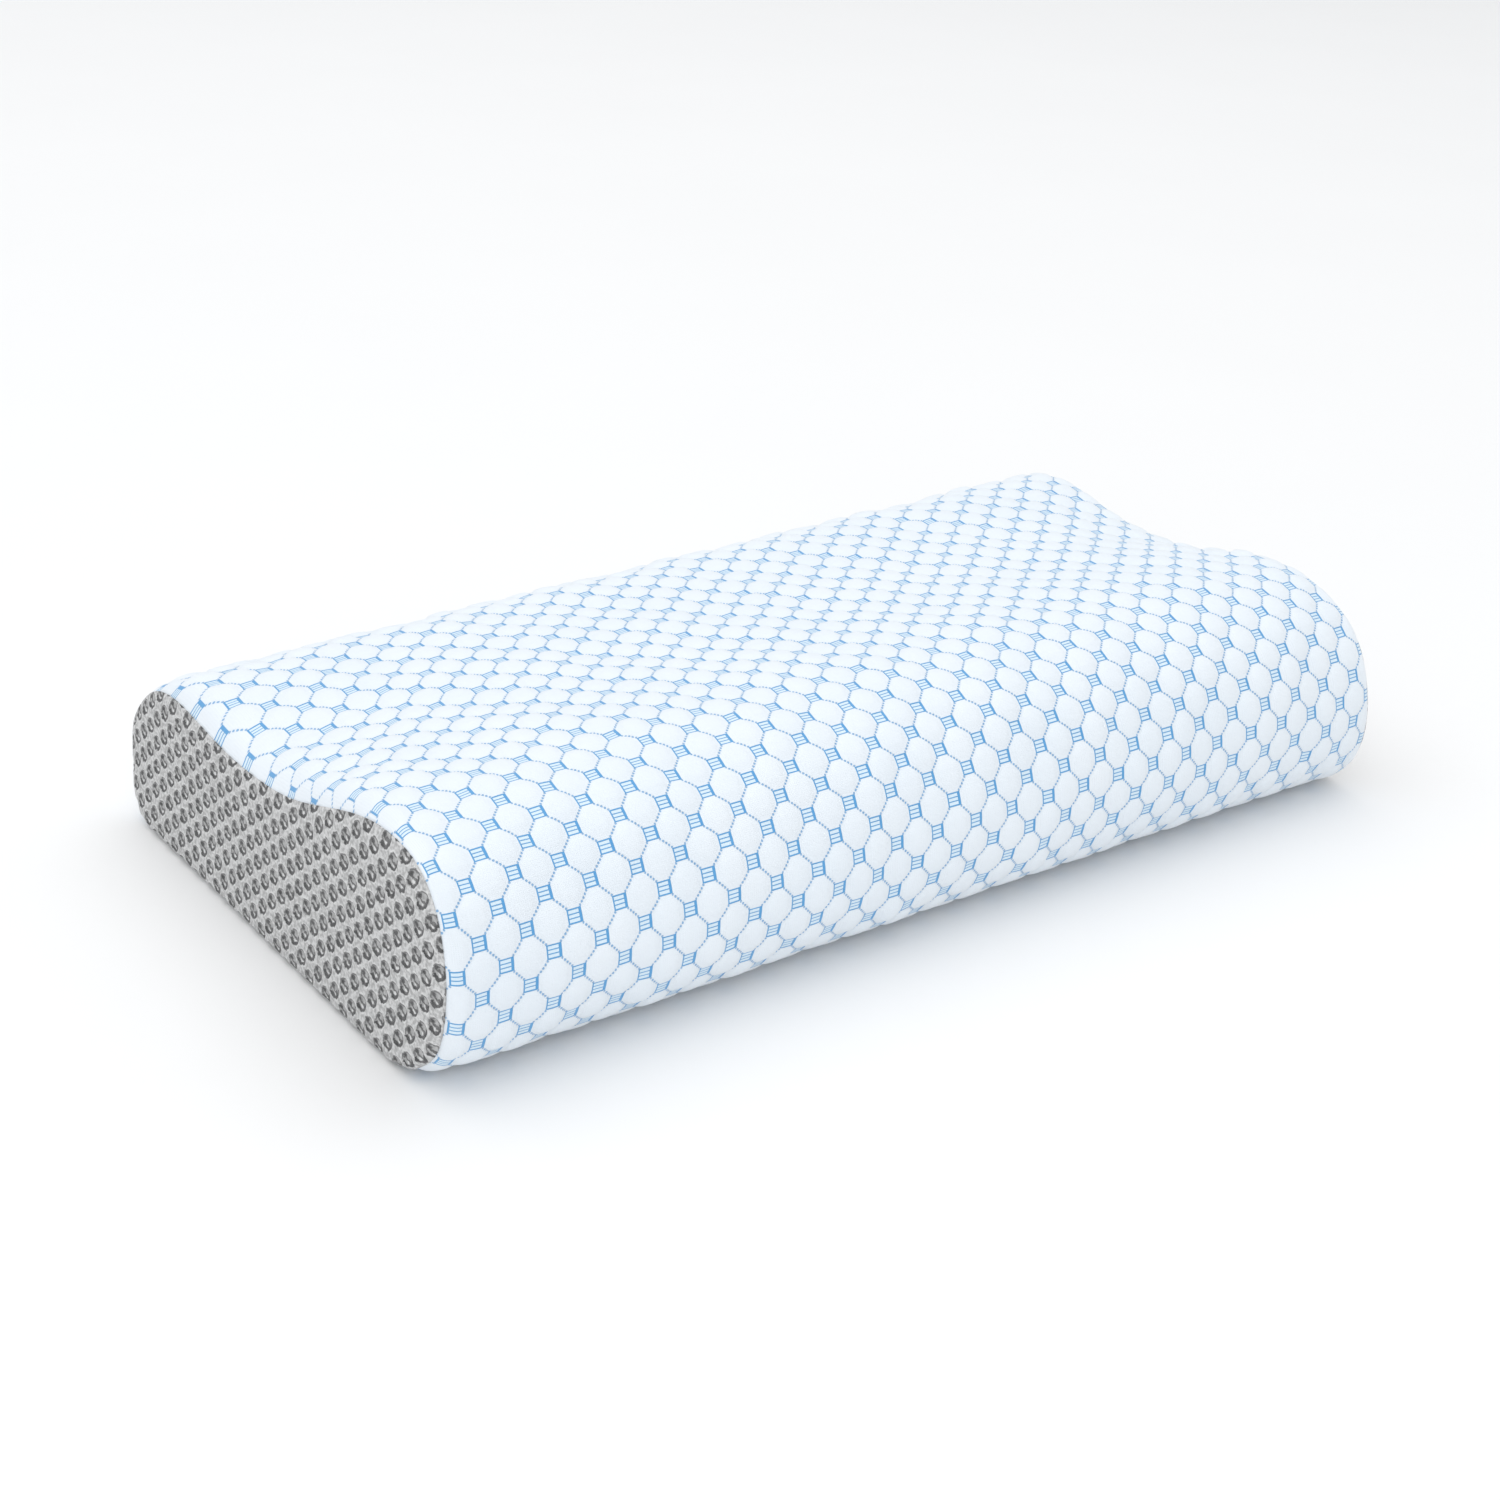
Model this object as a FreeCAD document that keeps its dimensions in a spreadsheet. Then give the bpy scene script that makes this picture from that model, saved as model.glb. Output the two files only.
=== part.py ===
import FreeCAD, Part
import math
import os
import Sketcher

# A contoured bed pillow: a memory-foam core in a sewn liner, inside a zipped
# outer cover. The cover is a quilted knit wrap that runs round the long faces,
# with a panel of spacer mesh closing each end.
# X runs along the pillow, -Y is the high front lobe, +Z is up and Z = 0 is the
# bed. The origin is the middle of the footprint.

doc = FreeCAD.newDocument("contour_pillow")

DRIVING_DIMENSIONS = [
    # overall form
    ("pillow_length", 600.0),
    ("pillow_depth", 350.0),
    ("front_height", 120.0),
    ("back_height", 103.0),
    ("valley_height", 95.0),
    ("valley_offset", 28.0),
    # radii of the arcs that make the end outline
    ("front_radius", 55.0),
    ("valley_radius", 300.0),
    ("back_radius", 67.0),
    ("foot_radius", 28.0),
    # layers, from the outside in
    ("wrap_thick", 5.0),
    ("panel_thick", 4.0),
    ("panel_inset", 2.2),
    ("thread_thick", 0.8),
    ("thread_gap", 0.1),
    ("liner_gap", 0.3),
    ("liner_thick", 0.7),
    ("core_gap", 0.2),
    # zip fastener along the back face
    ("zip_length", 500.0),
    ("zip_height", 32.0),
    ("zip_opening", 10.0),
    ("chain_gap", 0.9),
    ("tape_width", 12.0),
    ("tape_thick", 0.5),
    ("tape_overrun", 8.0),
    ("tape_depth", 3.5),
    ("coil_radius", 0.9),
    ("coil_lift", 0.05),
    ("stop_length", 2.5),
    ("stitch_offset", 8.5),
    ("stitch_thick", 0.4),
    # slider and pull
    ("slider_length", 9.0),
    ("slider_width", 6.6),
    ("plate_thick", 0.7),
    ("neck_length", 2.2),
    ("neck_width", 0.6),
    ("lip_width", 0.7),
    ("running_gap", 0.35),
    ("bridge_span", 7.8),
    ("bridge_width", 1.6),
    ("bridge_thick", 0.7),
    ("post_length", 1.2),
    ("bridge_clear", 1.7),
    ("pull_thick", 0.9),
    ("pull_width", 5.2),
    ("pull_length", 24.0),
    ("pull_bar", 1.2),
    ("pull_window", 4.4),
    ("pull_rim", 1.3),
    ("pull_eye", 1.2),
    # rounded edges
    ("core_round", 6.0),
    ("hem_round", 1.2),
    ("plate_round", 1.4),
    # how far a cut reaches past what it cuts
    ("cut_margin", 1.0),
]

# Lengths closer than this are taken as equal when edges are picked out.
TOLERANCE = 0.01

sheet = doc.addObject("Spreadsheet::Sheet", "Dimensions")


def fill_sheet():
    for row, (alias, value) in enumerate(DRIVING_DIMENSIONS, start=1):
        sheet.set("A%d" % row, alias)
        sheet.set("B%d" % row, str(value))
        sheet.setAlias("B%d" % row, alias)
    doc.recompute()


def value_of(alias):
    return float(sheet.get(alias))


def sized(expression):
    """An expression in which every known alias is read from the sheet."""
    words = []
    for word in expression.split(" "):
        bare = word.strip("()")
        known = any(bare == alias for alias, _ in DRIVING_DIMENSIONS)
        words.append(word.replace(bare, "Dimensions." + bare) if known else word)
    return " ".join(words)


def evaluated(expression):
    """The number that an expression gives, used to draw a sketch in place."""
    return float(sheet.evalExpression(sized(expression).replace("Dimensions.", "")))


# ---------------------------------------------------------------- sketching


def origin_plane(body, role):
    return next(item for item in body.Origin.OriginFeatures if item.Role == role)


def new_body(label):
    body = doc.addObject("PartDesign::Body", label)
    body.Label = label
    return body


def new_sketch(body, name, role):
    sketch = body.newObject("Sketcher::SketchObject", name)
    sketch.AttachmentSupport = [(origin_plane(body, role), "")]
    sketch.MapMode = "FlatFace"
    doc.recompute()
    return sketch


def bind(sketch, kind, where, expression):
    """Adds a size constraint whose value comes from the sheet."""
    index = sketch.addConstraint(Sketcher.Constraint(kind, *where, evaluated(expression)))
    sketch.setExpression("Constraints[%d]" % index, sized(expression))


def bind_point(sketch, edge, end, across, up):
    """Places one end of an edge; a leading minus means left of or below the origin."""
    for kind, expression in (("DistanceX", across), ("DistanceY", up)):
        if expression is None:
            continue
        if expression.startswith("-"):
            bind(sketch, kind, (edge, end, -1, 1), expression[1:].strip())
        else:
            bind(sketch, kind, (-1, 1, edge, end), expression)


def add_rectangle(sketch, left, bottom, right, top):
    """A rectangle whose low and high corners are bound to the sheet."""

    def number(expression):
        if expression.startswith("-"):
            return -evaluated(expression[1:].strip())
        return evaluated(expression)

    low = FreeCAD.Vector(number(left), number(bottom), 0)
    high = FreeCAD.Vector(number(right), number(top), 0)
    corners = [low, FreeCAD.Vector(high.x, low.y, 0), high, FreeCAD.Vector(low.x, high.y, 0)]
    first = sketch.GeometryCount
    for side in range(4):
        sketch.addGeometry(Part.LineSegment(corners[side], corners[(side + 1) % 4]), False)
    for side in range(4):
        following = first + (side + 1) % 4
        sketch.addConstraint(Sketcher.Constraint("Coincident", first + side, 2, following, 1))
        direction = "Horizontal" if side % 2 == 0 else "Vertical"
        sketch.addConstraint(Sketcher.Constraint(direction, first + side))
    bind_point(sketch, first, 1, left, bottom)
    bind_point(sketch, first + 2, 1, right, top)


# ------------------------------------------------------------- end outline


def shoulder_span(crest_y, crest_z):
    """Sum of the shoulder and valley radii that makes the two arcs tangent."""
    run = abs(value_of("valley_offset") - crest_y)
    drop = crest_z - value_of("valley_height")
    return (run * run + drop * drop) / (2.0 * drop)


def outline_arcs(inset):
    """Centres, radii and end angles of the outline's arcs, offset inwards."""
    half = value_of("pillow_depth") / 2.0
    front_y = value_of("front_radius") - half
    back_y = half - value_of("back_radius")
    foot_y = half - value_of("foot_radius")
    valley_y = value_of("valley_offset")
    front_z = value_of("front_height")
    back_z = value_of("back_height")
    valley_r = value_of("valley_radius")
    front_shoulder = shoulder_span(front_y, front_z) - valley_r
    back_shoulder = shoulder_span(back_y, back_z) - valley_r
    valley_z = value_of("valley_height") + valley_r
    lean_front = math.atan2(valley_z - (front_z - front_shoulder), valley_y - front_y)
    lean_back = math.atan2(valley_z - (back_z - back_shoulder), valley_y - back_y)
    quarter = math.pi / 2.0
    front_r = value_of("front_radius")
    back_r = value_of("back_radius")
    foot_r = value_of("foot_radius")
    convex = [
        ((foot_y, foot_r), foot_r, -quarter, 0.0),
        ((back_y, back_z - back_r), back_r, 0.0, quarter),
        ((back_y, back_z - back_shoulder), back_shoulder, quarter, lean_back),
        None,
        ((front_y, front_z - front_shoulder), front_shoulder, lean_front, quarter),
        ((front_y, front_z - front_r), front_r, quarter, 2 * quarter),
        ((front_y, front_r), front_r, 2 * quarter, 3 * quarter),
    ]
    arcs = []
    for item in convex:
        if item is None:
            turn = math.pi
            arcs.append(((valley_y, valley_z), valley_r + inset, lean_front + turn, lean_back + turn))
        else:
            centre, radius, start, stop = item
            arcs.append((centre, radius - inset, start, stop))
    return arcs


def on_outline(y, z):
    """True where a point in the YZ plane lies on the pillow's outside."""
    half = value_of("pillow_depth") / 2.0
    if z < TOLERANCE or abs(y) > half - TOLERANCE:
        return True
    for (centre_y, centre_z), radius, _, _ in outline_arcs(0.0):
        if abs(math.hypot(y - centre_y, z - centre_z) - radius) < TOLERANCE:
            return True
    return False


def add_outline(sketch, inset):
    """Draws the pillow's end outline, set in from the outside by an expression.

    Ten tangent edges, anticlockwise from the base: base line, back foot, back
    riser, back crest, back shoulder, valley, front shoulder, front crest, front
    riser and front foot.
    """
    offset = evaluated(inset)
    arcs = outline_arcs(offset)

    def arc(index):
        centre, radius, start, stop = arcs[index]
        circle = Part.Circle(FreeCAD.Vector(centre[0], centre[1], 0), FreeCAD.Vector(0, 0, 1), radius)
        return Part.ArcOfCircle(circle, start, stop)

    def on_arc(index, angle_slot):
        (across, up), radius = arcs[index][0], arcs[index][1]
        angle = arcs[index][angle_slot]
        return FreeCAD.Vector(across + radius * math.cos(angle), up + radius * math.sin(angle), 0)

    first = sketch.GeometryCount
    edges = [
        Part.LineSegment(on_arc(6, 3), on_arc(0, 2)),
        arc(0),
        Part.LineSegment(on_arc(0, 3), on_arc(1, 2)),
        arc(1),
        arc(2),
        arc(3),
        arc(4),
        arc(5),
        Part.LineSegment(on_arc(5, 3), on_arc(6, 2)),
        arc(6),
    ]
    for edge in edges:
        sketch.addGeometry(edge, False)
    base, foot, riser, crest, _, valley, _, front_crest, front_riser, front_foot = range(first, first + 10)
    # The valley arc is the one edge drawn backwards, because it curves the other way.
    starts = {edge: 1 for edge in range(first, first + 10)}
    ends = {edge: 2 for edge in range(first, first + 10)}
    starts[valley], ends[valley] = 2, 1
    for edge in range(first, first + 10):
        following = first + (edge - first + 1) % 10
        ties = (edge, ends[edge], following, starts[following])
        sketch.addConstraint(Sketcher.Constraint("Tangent", *ties))
    sketch.addConstraint(Sketcher.Constraint("Horizontal", base))
    sketch.addConstraint(Sketcher.Constraint("Vertical", riser))
    sketch.addConstraint(Sketcher.Constraint("Vertical", front_riser))
    # Each crest's top point is straight above the centre of its nose arc.
    sketch.addConstraint(Sketcher.Constraint("Vertical", crest, 3, crest, 2))
    sketch.addConstraint(Sketcher.Constraint("Vertical", front_crest, 3, front_crest, 1))
    bind(sketch, "Radius", (foot,), "foot_radius - ( " + inset + " )")
    bind(sketch, "Radius", (crest,), "back_radius - ( " + inset + " )")
    bind(sketch, "Radius", (valley,), "valley_radius + ( " + inset + " )")
    bind(sketch, "Radius", (front_crest,), "front_radius - ( " + inset + " )")
    bind(sketch, "Radius", (front_foot,), "front_radius - ( " + inset + " )")
    bind_point(sketch, base, 1, None, inset)
    bind_point(sketch, riser, 1, "pillow_depth / 2 - ( " + inset + " )", None)
    bind_point(sketch, front_riser, 1, "- pillow_depth / 2 - ( " + inset + " )", None)
    bind_point(sketch, crest, 2, None, "back_height - ( " + inset + " )")
    bind_point(sketch, front_crest, 1, None, "front_height - ( " + inset + " )")
    bind_point(sketch, valley, 3, "valley_offset", "valley_height + valley_radius")


def pad(body, name, sketch, length, symmetric=True):
    feature = body.newObject("PartDesign::Pad", name)
    feature.Profile = sketch
    feature.setExpression("Length", sized(length))
    feature.Midplane = symmetric
    sketch.Visibility = False
    body.Tip = feature
    doc.recompute()
    return feature


def pocket(body, name, sketch, length):
    """A cut made equally to both sides of its sketch."""
    before = body.Shape.Volume
    feature = body.newObject("PartDesign::Pocket", name)
    feature.Profile = sketch
    feature.setExpression("Length", sized(length))
    feature.Midplane = True
    body.Tip = feature
    doc.recompute()
    if body.Shape.Volume >= before:
        raise RuntimeError("%s removes nothing" % name)
    return feature


def round_edges(body, name, radius, wanted):
    """Fillets those edges of a body's current shape that a test picks out."""
    base = body.Tip
    picked = ["Edge%d" % n for n, edge in enumerate(base.Shape.Edges, start=1) if wanted(edge)]
    feature = body.newObject("PartDesign::Fillet", name)
    feature.Base = (base, picked)
    feature.setExpression("Radius", sized(radius))
    body.Tip = feature
    doc.recompute()
    return feature


def runs_along_y(edge):
    box = edge.BoundBox
    return box.XLength < TOLERANCE and box.ZLength < TOLERANCE


def is_end_edge(edge):
    """True for the edges of the two end faces of a block or tube along X."""
    return edge.BoundBox.XLength < TOLERANCE


def is_outer_end_edge(edge):
    """True for the end-face edges that lie on the outside of the wrap."""
    box = edge.BoundBox
    at_end = box.XLength < TOLERANCE and abs(box.XMin) > evaluated(WRAP_LENGTH) / 2.0 - TOLERANCE
    middle = edge.valueAt((edge.FirstParameter + edge.LastParameter) / 2.0)
    return at_end and on_outline(middle.y, middle.z)


def is_plate_corner(edge):
    """True for the four upright corners of each slider plate."""
    middle = edge.CenterOfMass
    reach = abs(middle.z - value_of("zip_height"))
    return runs_along_y(edge) and reach > value_of("slider_width") / 2.0 - TOLERANCE


def is_pull_tip(edge):
    """True for the four outer corners of the pull tab."""
    return runs_along_y(edge) and abs(edge.CenterOfMass.z) > value_of("pull_width") / 2.0 - TOLERANCE


# ------------------------------------------------------------------ layers

LINER_INSET = "wrap_thick + liner_gap"
LINER_INNER = "wrap_thick + liner_gap + liner_thick"
CORE_INSET = "wrap_thick + liner_gap + liner_thick + core_gap"
WRAP_LENGTH = "pillow_length - 2 * panel_thick"
LINER_LENGTH = "pillow_length - 2 * panel_thick - 2 * liner_gap"


def add_foam_core():
    body = new_body("foam_core")
    sketch = new_sketch(body, "core_outline", "YZ_Plane")
    add_outline(sketch, CORE_INSET)
    length = LINER_LENGTH + " - 2 * ( liner_thick + core_gap )"
    pad(body, "core_block", sketch, length)
    round_edges(body, "core_edges", "core_round", is_end_edge)
    return body


def add_tube(label, outer_inset, inner_inset, length):
    body = new_body(label)
    sketch = new_sketch(body, label + "_outline", "YZ_Plane")
    add_outline(sketch, outer_inset)
    add_outline(sketch, inner_inset)
    pad(body, label + "_tube", sketch, length)
    return body


def add_plate(label, inset, thickness, start):
    """A flat panel cut to the end outline, its low face at X = start."""
    body = new_body(label)
    sketch = new_sketch(body, label + "_outline", "YZ_Plane")
    add_outline(sketch, inset)
    pad(body, label + "_sheet", sketch, thickness, symmetric=False)
    body.setExpression("Placement.Base.x", sized(start))
    return body


def add_liner():
    inner_length = LINER_LENGTH + " - 2 * liner_thick"
    add_tube("liner_wrap", LINER_INSET, LINER_INNER, inner_length)
    half_inner = "( " + inner_length + " ) / 2"
    add_plate("liner_end_left", LINER_INSET, "liner_thick", "-1 * " + half_inner + " - liner_thick")
    add_plate("liner_end_right", LINER_INSET, "liner_thick", half_inner)


def add_cover_wrap():
    """The quilted wrap, with a slot for the zip and a rebate for its tapes."""
    body = add_tube("cover_wrap", "0 * wrap_thick", "wrap_thick", WRAP_LENGTH)
    round_edges(body, "hem_edges", "hem_round", is_outer_end_edge)
    slot = new_sketch(body, "zip_slot", "YZ_Plane")
    add_rectangle(
        slot,
        "pillow_depth / 2 - wrap_thick - cut_margin",
        "zip_height - zip_opening / 2",
        "pillow_depth / 2 + cut_margin",
        "zip_height + zip_opening / 2",
    )
    pocket(body, "zip_slot_cut", slot, "zip_length + 2 * stop_length + 2 * cut_margin")
    rebate = new_sketch(body, "tape_rebate", "YZ_Plane")
    edge = "chain_gap / 2 + tape_width + cut_margin"
    add_rectangle(
        rebate,
        "pillow_depth / 2 - wrap_thick - cut_margin",
        "zip_height - ( " + edge + " )",
        "pillow_depth / 2 - tape_depth + tape_thick + running_gap",
        "zip_height + " + edge,
    )
    pocket(body, "tape_rebate_cut", rebate, "zip_length + 2 * tape_overrun + 2 * cut_margin")


def add_end_panels():
    half_wrap = "( " + WRAP_LENGTH + " ) / 2"
    add_plate("end_panel_left", "panel_inset", "panel_thick", "-1 * pillow_length / 2")
    add_plate("end_panel_right", "panel_inset", "panel_thick", half_wrap)


def add_seam_thread(label, start):
    """The ring of thread that closes the corner between wrap and end panel."""
    body = new_body(label)
    sketch = new_sketch(body, label + "_outline", "YZ_Plane")
    add_outline(sketch, "panel_inset - thread_gap - thread_thick")
    add_outline(sketch, "panel_inset - thread_gap")
    pad(body, label + "_ring", sketch, "thread_thick", symmetric=False)
    body.setExpression("Placement.Base.x", sized(start))


def add_seam_threads():
    half_wrap = "( " + WRAP_LENGTH + " ) / 2"
    add_seam_thread("seam_thread_left", "-1 * " + half_wrap + " - thread_gap - thread_thick")
    add_seam_thread("seam_thread_right", half_wrap + " + thread_gap")


# --------------------------------------------------------------------- zip

TAPE_FACE = "pillow_depth / 2 - tape_depth + tape_thick"
CHAIN_CENTRE = TAPE_FACE + " + coil_radius + coil_lift"
CHAIN_TOP = TAPE_FACE + " + 2 * coil_radius + coil_lift"


def add_bar(label, left, bottom, right, top, length):
    """A straight strip along X with a rectangular section."""
    body = new_body(label)
    sketch = new_sketch(body, label + "_section", "YZ_Plane")
    add_rectangle(sketch, left, bottom, right, top)
    pad(body, label + "_strip", sketch, length)
    return body


def add_tapes():
    low = "pillow_depth / 2 - tape_depth"
    length = "zip_length + 2 * tape_overrun"
    near = "chain_gap / 2"
    far = "chain_gap / 2 + tape_width"
    add_bar("zipper_tape_upper", low, "zip_height + " + near, TAPE_FACE, "zip_height + " + far, length)
    add_bar(
        "zipper_tape_lower",
        low,
        "zip_height - ( " + far + " )",
        TAPE_FACE,
        "zip_height - " + near,
        length,
    )


def add_coil(label, sign):
    """One side's nylon coil, laid on the outer face of its tape."""
    body = new_body(label)
    sketch = new_sketch(body, label + "_section", "YZ_Plane")
    height = "zip_height %s ( chain_gap / 2 + coil_radius )" % sign
    centre = FreeCAD.Vector(evaluated(CHAIN_CENTRE), evaluated(height), 0)
    circle = Part.Circle(centre, FreeCAD.Vector(0, 0, 1), value_of("coil_radius"))
    index = sketch.addGeometry(circle, False)
    bind(sketch, "Radius", (index,), "coil_radius")
    bind_point(sketch, index, 3, CHAIN_CENTRE, height)
    pad(body, label + "_strand", sketch, "zip_length")


def add_stops():
    """Two clips that stop the slider when closed and one when open."""
    low = TAPE_FACE + " + coil_lift"
    reach = "chain_gap / 2 + 2 * coil_radius"
    spans = {
        "zipper_top_stop_upper": ("zip_height + chain_gap / 2", "zip_height + " + reach),
        "zipper_top_stop_lower": ("zip_height - ( " + reach + " )", "zip_height - chain_gap / 2"),
        "zipper_bottom_stop": ("zip_height - ( " + reach + " )", "zip_height + " + reach),
    }
    for label, (bottom, top) in spans.items():
        body = add_bar(label, low, bottom, CHAIN_TOP, top, "stop_length")
        side = "-1 * " if label == "zipper_bottom_stop" else ""
        middle = side + "( zip_length + stop_length + 2 * thread_gap ) / 2"
        body.setExpression("Placement.Base.x", sized(middle))


def add_zip_stitching():
    """The topstitching that holds each tape to the hem of the wrap."""
    low = "pillow_depth / 2 + thread_gap"
    high = "pillow_depth / 2 + thread_gap + stitch_thick"
    length = "zip_length + tape_overrun"
    for label, sign in (("zipper_stitching_upper", "+"), ("zipper_stitching_lower", "-")):
        centre = "zip_height %s stitch_offset" % sign
        add_bar(label, low, centre + " - stitch_thick / 2", high, centre + " + stitch_thick / 2", length)


SLIDER_X = "zip_length / 2 - neck_length - thread_gap"
PLATE_LOW = "pillow_depth / 2 - tape_depth - running_gap - plate_thick"
TOP_PLATE = CHAIN_TOP + " + running_gap"
PULL_AXIS_Y = TOP_PLATE + " + plate_thick + bridge_clear / 2"
PULL_AXIS_X = "slider_length / 2 - neck_length"


def add_slider():
    """Two plates held apart by the neck that parts the coils, and a bridge.

    The body's own X = 0 is the trailing face of the neck. The plates are drawn
    as one I section, and the web is then cut away behind the neck.
    """
    body = new_body("zipper_slider")
    half = "slider_width / 2"
    web = "neck_width / 2"
    # Heights from the bed side to the outside, as distances along Y.
    plate_top = PLATE_LOW + " + plate_thick"
    top_out = TOP_PLATE + " + plate_thick"
    lip_low = TAPE_FACE + " + running_gap"
    lip = "slider_width / 2 - lip_width"
    corners = [
        (PLATE_LOW, half, -1),
        (PLATE_LOW, half, 1),
        (plate_top, half, 1),
        (plate_top, web, 1),
        (TOP_PLATE, web, 1),
        (TOP_PLATE, lip, 1),
        (lip_low, lip, 1),
        (lip_low, half, 1),
        (top_out, half, 1),
        (top_out, half, -1),
        (lip_low, half, -1),
        (lip_low, lip, -1),
        (TOP_PLATE, lip, -1),
        (TOP_PLATE, web, -1),
        (plate_top, web, -1),
        (plate_top, half, -1),
    ]
    sketch = new_sketch(body, "slider_section", "YZ_Plane")
    points = [
        FreeCAD.Vector(evaluated(across), value_of("zip_height") + side * evaluated(up), 0)
        for across, up, side in corners
    ]
    count = len(corners)
    for index in range(count):
        sketch.addGeometry(Part.LineSegment(points[index], points[(index + 1) % count]), False)
    for index in range(count):
        sketch.addConstraint(Sketcher.Constraint("Coincident", index, 2, (index + 1) % count, 1))
    for index, (across, up, side) in enumerate(corners):
        sign = "+" if side > 0 else "-"
        bind_point(sketch, index, 1, across, "zip_height %s ( %s )" % (sign, up))
    rear = "slider_length - neck_length"
    sketch.setExpression("AttachmentOffset.Base.z", sized("-1 * ( " + rear + " )"))
    pad(body, "slider_plates", sketch, "slider_length", symmetric=False)

    web_zone = new_sketch(body, "web_section", "YZ_Plane")
    add_rectangle(web_zone, plate_top, "zip_height - neck_width", TOP_PLATE, "zip_height + neck_width")
    web_zone.setExpression("AttachmentOffset.Base.z", sized("-1 * ( " + rear + " )"))
    pocket(body, "web_cut", web_zone, "2 * ( " + rear + " )")
    round_edges(body, "plate_corners", "plate_round", is_plate_corner)

    ahead = "bridge_span / 2 - ( " + PULL_AXIS_X + " )"
    behind = "- bridge_span / 2 + " + PULL_AXIS_X
    arch = new_sketch(body, "bridge_side", "XY_Plane")
    add_rectangle(arch, behind, top_out, ahead, top_out + " + bridge_clear + bridge_thick")
    arch.setExpression("AttachmentOffset.Base.z", sized("zip_height"))
    pad(body, "bridge", arch, "bridge_width")
    eye = new_sketch(body, "bridge_opening", "XY_Plane")
    eye_top = top_out + " + bridge_clear"
    add_rectangle(eye, behind + " - post_length", top_out, ahead + " - post_length", eye_top)
    eye.setExpression("AttachmentOffset.Base.z", sized("zip_height"))
    pocket(body, "bridge_eye", eye, "2 * bridge_width")
    body.setExpression("Placement.Base.x", sized(SLIDER_X))
    return body


def add_pull():
    """A flat tab whose end bar lies under the slider's bridge.

    The body's own origin is on the bar, which is the hinge line along Z.
    """
    body = new_body("zipper_pull")
    sketch = new_sketch(body, "pull_plan", "XZ_Plane")
    half = "pull_width / 2"
    add_rectangle(sketch, "- pull_length", "- " + half, "pull_bar / 2", half)
    add_rectangle(
        sketch,
        "- pull_bar / 2 + pull_window",
        "- pull_width / 2 - pull_rim",
        "- pull_bar / 2",
        "pull_width / 2 - pull_rim",
    )
    centre = FreeCAD.Vector(-evaluated("pull_length - pull_width / 2"), 0, 0)
    circle = Part.Circle(centre, FreeCAD.Vector(0, 0, 1), value_of("pull_eye"))
    index = sketch.addGeometry(circle, False)
    bind(sketch, "Radius", (index,), "pull_eye")
    bind_point(sketch, index, 3, "- pull_length - pull_width / 2", None)
    sketch.addConstraint(Sketcher.Constraint("PointOnObject", index, 3, -1))
    pad(body, "pull_plate", sketch, "pull_thick")
    round_edges(body, "pull_tip", "plate_round", is_pull_tip)
    body.setExpression("Placement.Base.x", sized(SLIDER_X + " - ( " + PULL_AXIS_X + " )"))
    body.setExpression("Placement.Base.y", sized(PULL_AXIS_Y))
    body.setExpression("Placement.Base.z", sized("zip_height"))
    return body


# ------------------------------------------------------------------ output


def write_parts():
    doc.recompute()
    os.makedirs("parts", exist_ok=True)
    for body in doc.findObjects("PartDesign::Body"):
        for item in [body] + body.Group:
            if "Invalid" in item.State or "Error" in item.State:
                raise RuntimeError("%s did not rebuild" % item.Name)
        if body.Shape.isNull() or not body.Shape.isValid():
            raise RuntimeError("%s has no valid solid" % body.Label)
        body.Shape.exportStep("parts/%s.step" % body.Label)


fill_sheet()
add_foam_core()
add_liner()
add_cover_wrap()
add_end_panels()
add_seam_threads()
add_tapes()
add_coil("zipper_coil_upper", "+")
add_coil("zipper_coil_lower", "-")
add_stops()
add_zip_stitching()
add_slider()
add_pull()
write_parts()
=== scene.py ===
import math

import bpy
import numpy as np
from mathutils import Matrix, Vector
from mathutils.geometry import delaunay_2d_cdt


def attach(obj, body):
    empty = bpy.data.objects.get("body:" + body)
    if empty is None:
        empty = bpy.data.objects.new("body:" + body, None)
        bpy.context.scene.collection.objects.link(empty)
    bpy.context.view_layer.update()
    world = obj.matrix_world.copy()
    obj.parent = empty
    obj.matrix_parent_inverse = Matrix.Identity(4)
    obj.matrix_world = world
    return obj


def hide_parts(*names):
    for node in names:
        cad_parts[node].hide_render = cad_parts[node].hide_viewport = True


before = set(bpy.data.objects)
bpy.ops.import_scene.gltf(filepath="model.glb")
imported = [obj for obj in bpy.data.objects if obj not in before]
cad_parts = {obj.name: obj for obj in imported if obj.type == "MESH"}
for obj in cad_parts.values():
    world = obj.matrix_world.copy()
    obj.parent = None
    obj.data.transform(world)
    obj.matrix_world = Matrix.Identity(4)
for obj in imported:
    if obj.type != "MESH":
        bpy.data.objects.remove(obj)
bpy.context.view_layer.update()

# Everything below is written in millimetres in the row frame and scaled once, when a mesh is made.
MM = 0.001
BODY = "pillow"
PATTERN = "pattern"      # the name of the map that holds a cloth's flat coordinates

# The quilt's repeat: small woven squares at every second point of a lattice and puffed cells at the
# others.
COLUMN = 12.163          # half the repeat along the pillow
ROW = 12.25              # half the repeat round the section, over the top
LOW_ROW = 13.3           # the same below row 0, where the cover is pulled down the front
STEPS = 5                # mesh steps in each half repeat
PUFF = 2.1               # how far a cell's middle stands over its channels
SQUARE_HALF_X = 3.75     # half sizes of a woven square
SQUARE_HALF_Y = 3.2
DASH_PITCH = 1.75        # the dashes along the channels
DASH_RADIUS = 0.56
FIRST_COLUMN_X = -298.0 + 2.5 * COLUMN

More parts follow.
